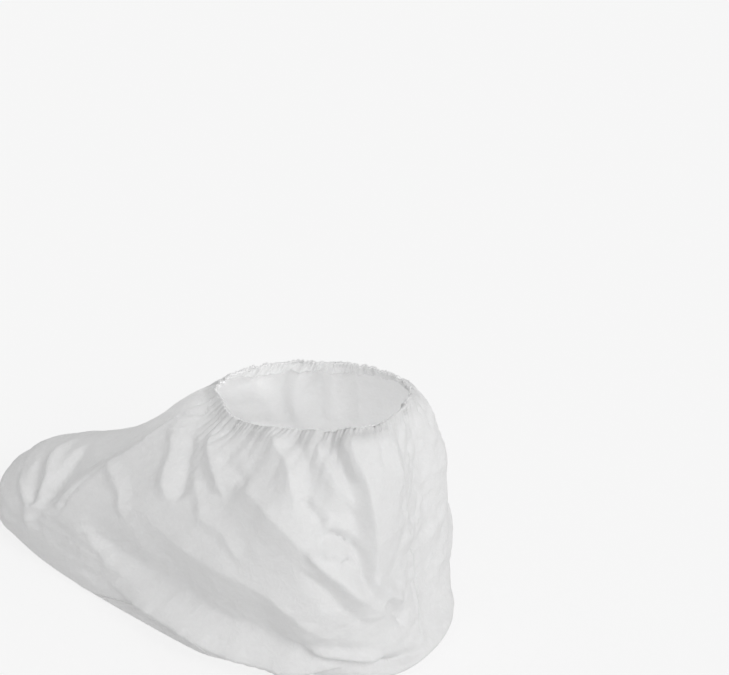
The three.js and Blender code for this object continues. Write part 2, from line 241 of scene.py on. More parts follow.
def smoothstep(value: Array, low: float, high: float) -> Array:
    """Eases from 0 at low to 1 at high, flat at both ends.

    Args:
        value: where to read the step.
        low: value at which the step starts.
        high: value at which it ends.

    Returns:
        The eased share, 3s^2 - 2s^3 of the clipped share s.
    """
    share = np.clip((value - low) / (high - low), 0.0, 1.0)
    return share * share * (3.0 - 2.0 * share)


def unit(vectors: Array) -> Array:
    """Returns the vectors scaled to length 1."""
    return vectors / np.linalg.norm(vectors, axis=-1, keepdims=True)


def cubic_through(places: Array, values: Array, at: Array) -> Array:
    """Smooth curve through given values: a cubic between neighbours, with slopes from their neighbours.

    Args:
        places: rising places of the values, shape (k,).
        values: the values there, shape (k,).
        at: places to read, any shape within the first and last place.

    Returns:
        The curve at those places.
    """
    slopes = np.gradient(values, places)
    row = np.clip(np.searchsorted(places, at, side="right") - 1, 0, len(places) - 2)
    span = places[row + 1] - places[row]
    s = (at - places[row]) / span
    rise = 3.0 * s**2 - 2.0 * s**3
    leave = (s**3 - 2.0 * s**2 + s) * span
    arrive = (s**3 - s**2) * span
    between = values[row] * (1.0 - rise) + values[row + 1] * rise
    return between + slopes[row] * leave + slopes[row + 1] * arrive


def both_sides(half: tuple) -> tuple:
    """Repeats the rows of a table of half the foot, from around 0 to 0.5, for the other half."""
    return half + tuple(row._replace(around=1.0 - row.around) for row in half[-2:0:-1])


def looped_column(rows: tuple, column: str, around: Array) -> Array:
    """Value of a column of a table that goes once round the foot.

    Args:
        rows: rows with an around field that rises from 0 and stays under 1.
        column: name of the column.
        around: places round the foot.

    Returns:
        The smooth value at those places.
    """
    places = np.array([row.around for row in rows], float)
    values = np.array([getattr(row, column) for row in rows], float)
    places = np.concatenate([places[-2:] - 1.0, places, places[:3] + 1.0])
    values = np.concatenate([values[-2:], values, values[:3]])
    return cubic_through(places, values, around - np.floor(around))


def creased_paper(x: Array, y: Array, period: float, crumple: Crumple) -> Array:
    """Facets of crumpled paper: over a grid of cells that are longer round the foot than up the cloth, each
    with a tilted and slightly domed plane round a random centre, the highest of the 25 nearest planes, less
    the same for a second draw, so that crests and valleys mix.

    Args:
        x: place round the foot in mm.
        y: place up the cloth in mm.
        period: length round the foot, after which x repeats.
        crumple: size and seed of the facets.

    Returns:
        Height, spread by 1 about 0.
    """
    draw = np.random.default_rng(crumple.seed)
    across = round(period / (crumple.cell * FACET_STRETCH))
    up = int(np.ptp(y) / crumple.cell) + 2 * FACET_NEIGHBOURS + 2
    cell_x = x / period * across
    cell_y = (y - y.min()) / crumple.cell + FACET_NEIGHBOURS
    steps = range(-FACET_NEIGHBOURS, FACET_NEIGHBOURS + 1)
    total = np.zeros(np.broadcast(x, y).shape)
    for sign in (1.0, -1.0):
        centre = draw.random((across, up, 2))
        tilt = draw.normal(0.0, FACET_TILT, (across, up, 2))
        level = draw.normal(0.0, FACET_LEVEL, (across, up))
        highest = np.full(total.shape, -np.inf)
        for step_x in steps:
            for step_y in steps:
                column = np.floor(cell_x).astype(int) + step_x
                row = np.floor(cell_y).astype(int) + step_y
                wrapped = column % across
                away_x = cell_x - column - centre[wrapped, row, 0]
                away_y = cell_y - row - centre[wrapped, row, 1]
                slope_x, slope_y = tilt[wrapped, row, 0], tilt[wrapped, row, 1]
                plane = level[wrapped, row] + slope_x * away_x + slope_y * away_y
                highest = np.maximum(highest, plane - FACET_DOME * (away_x**2 + away_y**2))
        total += sign * highest
    return total / total.std()


@dataclass
class CoverForm:
    """The surface that all pieces share: floor, corner, side wall and rim, with its folds and gathers."""

    circles: tuple[Circle, ...] = (
        Circle(129, 18, 45.5), Circle(131.5, -20.5, 43), Circle(50, 25.5, 61.5), Circle(48.5, -25.5, 60.5),
        Circle(-146, -1, 32))
    softness: float = 5.0
    rim_x: float = 79.0
    rim_z: float = 168.0
    rim_tilt: float = math.radians(7.0)
    corner_reach: float = 14.0
    corner_tuck: float = 12.0
    corner_lean: float = 0.7
    rim_marks: tuple[RimMark, ...] = (
        RimMark(0.0, 148, 4), RimMark(0.06, 147, -18), RimMark(0.12, 135, -37), RimMark(0.2, 100, -46.5),
        RimMark(0.27, 70, -48.5), RimMark(0.33, 47, -42), RimMark(0.42, 23, -19), RimMark(0.5, 9.5, -3),
        RimMark(0.55, 11.5, 15), RimMark(0.62, 25, 37), RimMark(0.7, 56, 50), RimMark(0.78, 90, 52),
        RimMark(0.86, 121, 43), RimMark(0.94, 143, 23))
    stations: tuple[Station, ...] = (
        Station(0.0, 6, -8, 0, 0), Station(0.1, 6, 15, -1, 20), Station(0.25, 10, 2, 12, 7),
        Station(0.4, 8, 13, 11, 6), Station(0.5, 16, 32, -16, 7), Station(0.6, 6, 12, 12, -3),
        Station(0.75, 10, 0, 13, 9), Station(0.9, 10, 12, 1, 19))
    seam: tuple[SeamMark, ...] = both_sides((
        SeamMark(0.0, -14), SeamMark(0.09, -8), SeamMark(0.15, 16), SeamMark(0.2, 24),
        SeamMark(0.24, 27), SeamMark(0.29, 20), SeamMark(0.36, 5), SeamMark(0.5, -4)))
    fold_steps: int = 28
    fold_power: float = 1.5
    end_width: float = 0.35
    fold_fall: float = 0.22
    fold_fade: float = 0.035
    # At the rim, folds keep this share of their height. They have all of it this far below.
    rim_fold_share: float = 0.55
    rim_fold_reach: float = 9.0
    # Where the crumple is that of the heel, by the cosine of the turn from its centre, and that of the
    # foot of the wall, by height up the wall.
    heel_centre: float = -0.02
    heel_zone: tuple[float, float] = (0.8, 0.95)
    low_zone: tuple[float, float] = (0.25, 0.45)
    # Puffs of the gathers: how much their size swings and how often, rounding of the pinched lines, level
    # between crest and pinch, and the share that the hem presses flat at the rim, over this reach.
    puff_swing: float = 0.45
    puff_swing_turns: int = 6
    puff_pinch: float = 0.02
    puff_level: float = 0.68
    puff_press: float = 0.4
    puff_press_reach: float = 1.5
    outline_samples: int = 4000
    length: float = field(init=False)

    def __post_init__(self) -> None:
        """Traces the footprint once: a soft loop round the circles, given by how far it reaches each way."""
        angle = -np.linspace(0.0, 2.0 * math.pi, self.outline_samples + 1)
        out = np.stack([np.cos(angle), np.sin(angle)], -1)
        circles = np.array(self.circles, float)
        pulls = (out @ circles[:, :2].T + circles[:, 2]) / self.softness
        strongest = pulls.max(1, keepdims=True)
        weights = np.exp(pulls - strongest)
        total = weights.sum(1, keepdims=True)
        support = self.softness * (strongest + np.log(total))
        across = np.stack([-out[:, 1], out[:, 0]], -1)
        slope = ((weights / total) * (across @ circles[:, :2].T)).sum(1, keepdims=True)
        loop = support * out + slope * across
        steps = np.linalg.norm(np.diff(loop, axis=0), axis=1)
        self._run = np.concatenate([[0.0], np.cumsum(steps)])
        self._loop = loop
        self._out = out
        self.length = float(self._run[-1])

    def footprint(self, around: Array) -> tuple[Array, Array]:
        """Point and outward direction of the footprint.

        Args:
            around: places round the foot.

        Returns:
            Points on the floor and unit directions, each of shape (..., 3).
        """
        run = (around - np.floor(around)) * self.length
        flat = np.zeros_like(run)
        point = np.stack([*(np.interp(run, self._run, self._loop[:, k]) for k in (0, 1)), flat], -1)
        out = np.stack([*(np.interp(run, self._run, self._out[:, k]) for k in (0, 1)), flat], -1)
        return point, unit(out)

    def rim(self, around: Array) -> Array:
        """Points of the rim: a smooth loop through its marks, in a plane that rises towards the heel."""
        x, y = (looped_column(self.rim_marks, name, around) for name in ("x", "y"))
        return np.stack([x, y, self.rim_z + (x - self.rim_x) * math.tan(self.rim_tilt)], -1)

    def chord(self, around: Array) -> tuple[Array, Array, Array]:
        """Straight line from the wall's corner to the rim.

        Args:
            around: places round the foot.

        Returns:
            Foot of the wall, vector from it to the rim, and that vector's length.
        """
        point, _ = self.footprint(around)
        foot = point.copy()
        foot[..., 2] = looped_column(self.stations, "lift", around)
        chord = self.rim(around) - foot
        return foot, chord, np.linalg.norm(chord, axis=-1)

    def rim_reach(self, around: Array) -> Array:
        """Reach of the rim at places round the foot."""
        return self.corner_reach + self.chord(around)[2]

    def seam_reach(self, around: Array) -> Array:
        """Reach of the seam between upper and sole."""
        return looped_column(self.seam, "reach", around)

    def smooth(self, around: Array, reach: Array) -> Array:
        """Point of the surface before folds: the floor is flat, the corner a quadratic curve, and the wall a
        straight line to the rim plus three bulges, low, mid and high, at right angles to it.

        Args:
            around: places round the foot.
            reach: distances along the cloth, broadcast with around.

        Returns:
            Points of shape (..., 3).
        """
        around, reach = np.broadcast_arrays(around, reach)
        point, out = self.footprint(around)
        foot, chord, height = self.chord(around)
        way = chord / height[..., None]
        bulge_way = unit(out - (out * way).sum(-1, keepdims=True) * way)
        low, mid, high = (looped_column(self.stations, name, around) for name in ("low", "mid", "high"))
        skew_peak, even_peak = 27.0 / 64.0, 3.0 / 8.0
        start = unit(chord + bulge_way * (low * 4.0 / skew_peak)[..., None])
        lean = (start * out).sum(-1) * foot[..., 2] / start[..., 2]
        lean = np.clip(lean, 0.0, self.corner_lean * self.corner_tuck)[..., None]
        floor = point - out * self.corner_tuck
        turn = point - out * lean
        t = ((reach - self.corner_reach) / height)[..., None]
        bulge = (low[..., None] * 4.0 * t * (1.0 - t) ** 3 / skew_peak
                 + mid[..., None] * 6.0 * t**2 * (1.0 - t) ** 2 / even_peak
                 + high[..., None] * 4.0 * t**3 * (1.0 - t) / skew_peak)
        wall = foot + chord * t + bulge_way * bulge
        s = np.clip(reach / self.corner_reach, 0.0, 1.0)[..., None]
        corner = floor * (1.0 - s) ** 2 + turn * 2.0 * s * (1.0 - s) + foot * s**2
        flat = floor + out * reach[..., None]
        return np.where(t > 0.0, wall, np.where(reach[..., None] > 0.0, corner, flat))

    def outward(self, around: Array, reach: Array) -> Array:
        """Outward direction of the smooth surface: at right angles to small steps both ways along it.

        Args:
            around: places round the foot.
            reach: distances along the cloth, broadcast with around.

        Returns:
            Unit directions of shape (..., 3).
        """
        step_around, step_reach = 0.0008, 0.4
        sideways = self.smooth(around + step_around, reach) - self.smooth(around - step_around, reach)
        upward = self.smooth(around, reach + step_reach) - self.smooth(around, reach - step_reach)
        return unit(np.cross(upward, sideways))

    def path(self, places: tuple[tuple[float, float], ...], side: Side, steps: int) -> tuple[Array, Array]:
        """A smooth path through (around, up) places.

        Args:
            places: the places, as for the near side.
            side: side of the cover that the path is on.
            steps: number of steps along it.

        Returns:
            around and reach of each of the steps + 1 points.
        """
        marks = np.array(places, float)
        stops = np.linspace(0.0, 1.0, len(marks))
        at = np.linspace(0.0, 1.0, steps + 1)
        around = cubic_through(stops, marks[:, 0], at) * side.value
        up = cubic_through(stops, marks[:, 1], at)
        return around, self.corner_reach + up * self.chord(around)[2]

    def fold_height(self, points: Array, fold: Fold) -> Array:
        """Height of one fold: from its line the flanks fall off as (1 - d / width) to a power, where d is the
        distance to the line, rounded near it, and the whole fades and narrows towards the ends of the line.

        Args:
            points: points of the smooth surface, shape (..., 3).
            fold: the fold.

        Returns:
            Height in mm at each point.
        """
        around, reach = self.path(fold.path, fold.side, self.fold_steps)
        line = self.smooth(around, reach)
        normal = self.outward(around, reach)[:-1]
        along = np.diff(line, axis=0)
        left = np.cross(normal, along) * fold.side.value
        widest = max(fold.lit, fold.shade)
        inside = ((points > line.min(0) - widest) & (points < line.max(0) + widest)).all(-1)
        near = points[inside]
        offset = near[:, None] - line[None, :-1]
        share = np.clip((offset * along).sum(-1) / (along**2).sum(-1), 0.0, 1.0)
        offset = offset - share[..., None] * along
        nearest = (offset**2).sum(-1).argmin(1)
        pick = np.arange(len(near))
        offset = offset[pick, nearest]
        run = (nearest + share[pick, nearest]) / self.fold_steps
        lit = (offset * left[nearest]).sum(-1) > 0.0
        fade = smoothstep(run, 0.0, fold.rise) * smoothstep(1.0 - run, 0.0, self.fold_fall)
        width = np.where(lit, fold.lit, fold.shade) * (self.end_width + (1.0 - self.end_width) * fade)
        distance = np.sqrt((offset**2).sum(-1) + fold.crest**2) - fold.crest
        limit = np.sqrt(width**2 + fold.crest**2) - fold.crest
        flank = np.clip(1.0 - distance / limit, 0.0, 1.0) ** self.fold_power
        height = np.zeros(points.shape[:-1])
        height[inside] = fold.height * flank * fade
        return height

    def gather_height(self, around: Array, from_rim: Array) -> Array:
        """Height of the rim's gathers: round puffs |sin| with pinched lines between them, unevenly spaced,
        that fade as exp(-distance / reach) below the rim.

        Args:
            around: places round the foot.
            from_rim: distances below the rim in mm, broadcast with around.

        Returns:
            Height in mm at each place.
        """
        angle = 2.0 * math.pi * around
        total = np.zeros(np.broadcast(around, from_rim).shape)
        for gather in GATHERS:
            turns = gather.drift_turns
            phase = 0.5 * gather.count * angle + gather.drift * np.sin(turns * angle + gather.count)
            swing = np.sin((turns + self.puff_swing_turns) * angle + 2.0 * gather.drift)
            size = gather.depth * (1.0 + self.puff_swing * swing)
            puff = np.sqrt(np.sin(phase) ** 2 + self.puff_pinch) - self.puff_level
            total = total + size * puff * np.exp(-from_rim / gather.reach)
        return total * (1.0 - self.puff_press * np.exp(-from_rim / self.puff_press_reach))

    def relief(self, around: Array, reach: Array) -> Array:
        """Height of the cloth over the smooth surface: folds, crumple, heel seam and gathers.

        Args:
            around: places round the foot.
            reach: distances along the cloth, broadcast with around.

        Returns:
            Height in mm along the outward direction.
        """
        around, reach = np.broadcast_arrays(around, reach)
        points = self.smooth(around, reach)
        height = self.chord(around)[2]
        up = (reach - self.corner_reach) / height
        total = np.zeros(around.shape)
        for fold in (*FOLDS, HEEL_SEAM):
            total = total + self.fold_height(points, fold)
        from_rim = np.maximum(0.0, (1.0 - up) * height)
        below_rim = smoothstep(from_rim, 0.0, self.rim_fold_reach)
        total = total * (self.rim_fold_share + (1.0 - self.rim_fold_share) * below_rim)
        heel = smoothstep(np.cos(2.0 * math.pi * (around - self.heel_centre)), *self.heel_zone)
        low = (1.0 - smoothstep(up, *self.low_zone)) * (1.0 - heel)
        turn = around - np.floor(around)
        for crumple in CRUMPLES:
            size = crumple.side + (crumple.heel - crumple.side) * heel + (crumple.low - crumple.side) * low
            total = total + size * creased_paper(turn * self.length, reach, self.length, crumple)
        total = total + self.gather_height(around, from_rim)
        return total * smoothstep(up, 0.0, self.fold_fade)

    def cloth(self, around: Array, reach: Array) -> tuple[Array, Array]:
        """The outside of the cloth with its relief.

        Args:
            around: places round the foot.
            reach: distances along the cloth, broadcast with around.

        Returns:
            Points and the smooth surface's outward directions, each of shape (..., 3).
        """
        around, reach = np.broadcast_arrays(around, reach)
        outward = self.outward(around, reach)
        return self.smooth(around, reach) + outward * self.relief(around, reach)[..., None], outward


# Sockets of Blender's Mix node that carry colours: its two inputs and its result.
MIX_FIRST = 6
MIX_SECOND = 7
MIX_RESULT = 2


def linear(colour: str) -> tuple[float, float, float, float]:
    """Turns an sRGB hex colour to linear red, green, blue and alpha 1."""
    parts = [int(colour[k:k + 2], 16) / 255.0 for k in (1, 3, 5)]
    return (*(p / 12.92 if p <= 0.04045 else ((p + 0.055) / 1.055) ** 2.4 for p in parts), 1.0)


def add_node(tree: bpy.types.NodeTree, kind: str, inputs: dict[Any, Any], **settings: Any) -> bpy.types.Node:
    """Adds a node with its settings, input values and links.

    Args:
        tree: node tree to add to.
        kind: Blender's name of the node type.
        inputs: for each input, by name or place, a value or the output socket that feeds it.
        settings: the node's own properties.

    Returns:
        The new node.
    """
    node = tree.nodes.new(kind)
    for name, value in settings.items():
        setattr(node, name, value)
    for key, value in inputs.items():
        if isinstance(value, bpy.types.NodeSocket):
            tree.links.new(value, node.inputs[key])
        else:
            node.inputs[key].default_value = value
    return node


def new_material(name: str) -> tuple[bpy.types.Material, bpy.types.NodeTree]:
    """Makes an empty node material.

    Args:
        name: name of the material.

    Returns:
        The material and its node tree.
    """
    material = bpy.data.materials.new(name)
    material.use_nodes = True
    material.node_tree.nodes.clear()
    return material, material.node_tree


@dataclass(frozen=True)
class NonwovenFinish:
    """Flash-spun polyethylene nonwoven, bonded by heat: a matte white web of swirled fibres, with a faint
    cloud of thicker and thinner places, and fine paper-like creases. The fibres are drawn coarser than the
    real ones, so that they show."""

    name: str
    pale: str = "#FCFCFC"
    dull: str = "#F7F7F7"
    cloud_mm: float = 4.0
    fibre_mm: float = 1.2
    crease_mm: float = 6.0
    crease_depth_mm: float = 0.14
    roughness: float = 0.72
    through: float = 0.25

    def material(self) -> bpy.types.Material:
        """Builds the material.

        Returns:
            The material.
        """
        material, tree = new_material(self.name)
        place = add_node(tree, "ShaderNodeTexCoord", {}).outputs["Object"]
        cloud = add_node(tree, "ShaderNodeTexNoise", {
            "Vector": place, "Scale": 1.0 / (self.cloud_mm * MM), "Detail": 3.0, "Distortion": 1.2})
        fibre = add_node(tree, "ShaderNodeTexNoise", {
            "Vector": place, "Scale": 1.0 / (self.fibre_mm * MM), "Detail": 4.0, "Distortion": 2.5})
        blend = add_node(tree, "ShaderNodeMath", {
            0: cloud.outputs["Fac"], 1: fibre.outputs["Fac"]}, operation="MULTIPLY")
        share = add_node(tree, "ShaderNodeMapRange", {
            "Value": blend.outputs[0], "From Min": 0.12, "From Max": 0.4})
        colour = add_node(tree, "ShaderNodeMix", {
            "Factor": share.outputs[0], MIX_FIRST: linear(self.dull), MIX_SECOND: linear(self.pale)},
            data_type="RGBA")
        crease = add_node(tree, "ShaderNodeTexNoise", {
            "Vector": place, "Scale": 1.0 / (self.crease_mm * MM), "Detail": 3.0, "Distortion": 0.6,
            "Offset": 0.9, "Gain": 1.4},
            noise_type="RIDGED_MULTIFRACTAL")
        bump = add_node(tree, "ShaderNodeBump", {
            "Height": crease.outputs["Fac"], "Strength": 1.0, "Distance": self.crease_depth_mm * MM})
        shader = add_node(tree, "ShaderNodeBsdfPrincipled", {
            "Base Color": colour.outputs[MIX_RESULT], "Roughness": self.roughness, "Specular IOR Level": 0.2,
            "Normal": bump.outputs["Normal"]})
        glow = add_node(tree, "ShaderNodeBsdfTranslucent", {
            "Color": colour.outputs[MIX_RESULT], "Normal": bump.outputs["Normal"]})
        cloth = add_node(tree, "ShaderNodeMixShader", {
            0: self.through, 1: shader.outputs[0], 2: glow.outputs[0]})
        add_node(tree, "ShaderNodeOutputMaterial", {"Surface": cloth.outputs[0]})
        return material


@dataclass(frozen=True)
class GripFinish:
    """Polyethylene-coated nonwoven, embossed with a diamond lattice: smoother than the cloth, with a faint
    gloss. The hollows between the raised lines are coloured darker as painted shade."""

    name: str
    line: str = "#FFFFFF"
    hollow: str = "#F6F6F6"
    roughness: float = 0.5
    through: float = 0.4

    def material(self) -> bpy.types.Material:
        """Builds the material.

        Returns:
            The material.
        """
        material, tree = new_material(self.name)
        # Painted shade: the colour darkens from the raised lines into the lattice's hollows, by the lattice's
        # height share.
        relief = add_node(tree, "ShaderNodeAttribute", {}, attribute_name="lattice")
        colour = add_node(tree, "ShaderNodeMix", {
            "Factor": relief.outputs["Fac"], MIX_FIRST: linear(self.hollow), MIX_SECOND: linear(self.line)},
            data_type="RGBA")
        shader = add_node(tree, "ShaderNodeBsdfPrincipled", {
            "Base Color": colour.outputs[MIX_RESULT], "Roughness": self.roughness, "Specular IOR Level": 0.4})
        glow = add_node(tree, "ShaderNodeBsdfTranslucent", {"Color": colour.outputs[MIX_RESULT]})
        panel = add_node(tree, "ShaderNodeMixShader", {
            0: self.through, 1: shader.outputs[0], 2: glow.outputs[0]})
        add_node(tree, "ShaderNodeOutputMaterial", {"Surface": panel.outputs[0]})
        return material


@dataclass(frozen=True)
class ThreadFinish:
    """Spun polyester sewing thread: matte, with painted shade along the lines where its plies twist."""

    name: str
    pale: str = "#F8F8F8"
    twist_shade: str = "#EEEEEE"
    twist_mm: float = 0.8

    def material(self) -> bpy.types.Material:
        """Builds the material.

        Returns:
            The material.
        """
        material, tree = new_material(self.name)
        place = add_node(tree, "ShaderNodeTexCoord", {}).outputs["Object"]
        twist = add_node(tree, "ShaderNodeTexWave", {
            "Vector": place, "Scale": 1.0 / (self.twist_mm * MM), "Distortion": 1.0},
            bands_direction="DIAGONAL")
        # Painted shade: the colour is darker along the diagonal bands of the twist.
        colour = add_node(tree, "ShaderNodeMix", {
            "Factor": twist.outputs["Fac"], MIX_FIRST: linear(self.twist_shade), MIX_SECOND: linear(self.pale)},
            data_type="RGBA")
        shader = add_node(tree, "ShaderNodeBsdfPrincipled", {
            "Base Color": colour.outputs[MIX_RESULT], "Roughness": 0.8})
        add_node(tree, "ShaderNodeOutputMaterial", {"Surface": shader.outputs[0]})
        return material


@dataclass(frozen=True)
class FloorFinish:
    """Lit white sweep of a photo studio: an even pale tone that shows only a faint shadow."""

    name: str
    colour: str = "#F6F6F6"
    own_light: float = 0.835
    albedo: float = 0.2

    def material(self) -> bpy.types.Material:
        """Builds the material.

        Returns:
            The material.
        """
        material, tree = new_material(self.name)
        shader = add_node(tree, "ShaderNodeBsdfPrincipled", {
            "Base Color": (self.albedo, self.albedo, self.albedo, 1.0), "Roughness": 1.0,
            "Specular IOR Level": 0.0, "Emission Color": linear(self.colour),
            "Emission Strength": self.own_light})
        add_node(tree, "ShaderNodeOutputMaterial", {"Surface": shader.outputs[0]})
        return material


def ring_faces(columns: int, rows: int, start: int, outwards: bool) -> Array:
    """Quads of a grid that closes on itself round the foot.

    Args:
        columns: points round the foot.
        rows: points of each column, numbered one after another.
        start: number of the first point.
        outwards: False turns the faces round.

    Returns:
        Point numbers, shape (columns * (rows - 1), 4).
    """
    index = start + np.arange(columns * rows).reshape(columns, rows)
    following = np.roll(index, -1, 0)
    quads = np.stack([index[:, :-1], index[:, 1:], following[:, 1:], following[:, :-1]], -1).reshape(-1, 4)
    return quads if outwards else quads[:, ::-1]


def tube_faces(columns: int, rows: int) -> Array:
    """Quads of a ring whose cross-section is a closed loop, so that it closes both ways.

    Args:
        columns: points round the foot.
        rows: points of the cross-section, numbered one after another.

    Returns:
        Point numbers, shape (columns * rows, 4).
    """
    index = np.arange(columns * rows).reshape(columns, rows)
    following = np.roll(index, -1, 0)
    above = np.roll(index, -1, 1)
    return np.stack([index, above, np.roll(above, -1, 0), following], -1).reshape(-1, 4)


def sheet_faces(columns: int, rows: int) -> Array:
    """Quads of a grid that is open both ways.

    Args:
        columns: number of columns of points.
        rows: points of each column, numbered one after another.

    Returns:
        Point numbers, shape ((columns - 1) * (rows - 1), 4).
    """
    index = np.arange(columns * rows).reshape(columns, rows)
    return np.stack([index[:-1, :-1], index[1:, :-1], index[1:, 1:], index[:-1, 1:]], -1).reshape(-1, 4)


def grid_normals(points: Array) -> Array:
    """Outward directions of a grid that closes on itself round the foot, at right angles to its lines.

    Args:
        points: points of shape (columns, rows, 3).

    Returns:
        Unit directions of the same shape.
    """
    sideways = np.roll(points, -1, 0) - np.roll(points, 1, 0)
    upward = np.gradient(points, axis=1)
    return unit(np.cross(upward, sideways))


def mesh_piece(name: str, points: Array, faces: Array, material: bpy.types.Material) -> bpy.types.Object:
    """Makes an object from points in mm and faces, smooth and with one material.

    Args:
        name: name of the piece.
        points: points in mm, shape (k, 3).
        faces: point numbers of each face.
        material: finish of the piece.

    Returns:
        The object, at the origin.
    """
    mesh = bpy.data.meshes.new(name)
    mesh.from_pydata(points * MM, [], faces)
    mesh.shade_smooth()
    mesh.materials.append(material)
    piece = bpy.data.objects.new(name, mesh)
    bpy.context.scene.collection.objects.link(piece)
    return piece


@dataclass
class Upper:
    """The cloth upper, one closed thin shell from the sole seam to the rim."""

    form: CoverForm
    near_columns: int = 372
    far_columns: int = 132
    rows: int = 139
    inner_rows: int = 56
    rim_crowding: float = 0.35
    rim_thickness: float = 0.4
    wall_thickness: float = 1.0
    thicker_from: float = 2.0
    thicker_to: float = 25.0
    floor_gap: float = 0.05
    sewn_gap: float = 0.2
    flat_size: tuple[float, float] = (0.72, 0.26)
    flat_area: float = 0.165

    def skin(self, around: Array, rows: int) -> Array:
        """Grid of points of the outside of the cloth, from the sole seam to the rim.

        Args:
            around: places round the foot, shape (columns, 1).
            rows: number of points up the wall.

        Returns:
            Points of shape (columns, rows, 3), none of them under the floor.
        """
        low = self.form.seam_reach(around) + self.sewn_gap
        share = np.linspace(0.0, 1.0, rows)[None, :]
        share = share + self.rim_crowding * share * (1.0 - share)
        reach = low + (self.form.rim_reach(around) - low) * share
        points, _ = self.form.cloth(around, reach)
        points[..., 2] = np.maximum(points[..., 2], self.floor_gap)
        return points

    def build(self) -> bpy.types.Object:
        """Builds the shell: the outside follows the cloth surface, and a coarser inside lies within it,
        closer to it at the rim, where it shows.

        Returns:
            The piece, undressed.
        """
        near = np.linspace(0.0, 0.5, self.near_columns, endpoint=False)
        far = np.linspace(0.5, 1.0, self.far_columns, endpoint=False)
        around = np.concatenate([near, far])[:, None]
        columns = len(around)
        outer = self.skin(around, self.rows)
        inner = self.skin(around, self.inner_rows)
        from_rim = np.linalg.norm(inner - inner[:, -1:], axis=-1)[..., None]
        below_rim = smoothstep(from_rim, self.thicker_from, self.thicker_to)
        thicker = (self.wall_thickness - self.rim_thickness) * below_rim
        inner = inner - grid_normals(inner) * (self.rim_thickness + thicker)
        count = columns * self.rows
        first = np.arange(columns) * self.rows
        last = first + self.rows - 1
        first_in = count + np.arange(columns) * self.inner_rows
        last_in = first_in + self.inner_rows - 1
        top = np.stack([last, last_in, np.roll(last_in, -1), np.roll(last, -1)], -1)
        base = np.stack([first, np.roll(first, -1), np.roll(first_in, -1), first_in], -1)
        skin = ring_faces(columns, self.rows, 0, True)
        lining = ring_faces(columns, self.inner_rows, count, False)
        faces = np.concatenate([lining, skin, top, base])
        points = np.concatenate([outer.reshape(-1, 3), inner.reshape(-1, 3)])
        finish = NonwovenFinish("flash_spun_nonwoven_upper")
        piece = mesh_piece("upper_cloth_shell", points, faces, finish.material())
        piece.data.materials.append(NonwovenFinish("flash_spun_nonwoven_inside", through=0.8).material())
        slots = np.zeros(len(faces), np.int32)
        slots[:len(lining)] = 1
        piece.data.polygons.foreach_set("material_index", slots)
        return piece

    def dress(self, piece: bpy.types.Object) -> None:
        """Args:
            piece: the piece that build made.
        """
        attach(piece, BODY)
        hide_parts("upper")


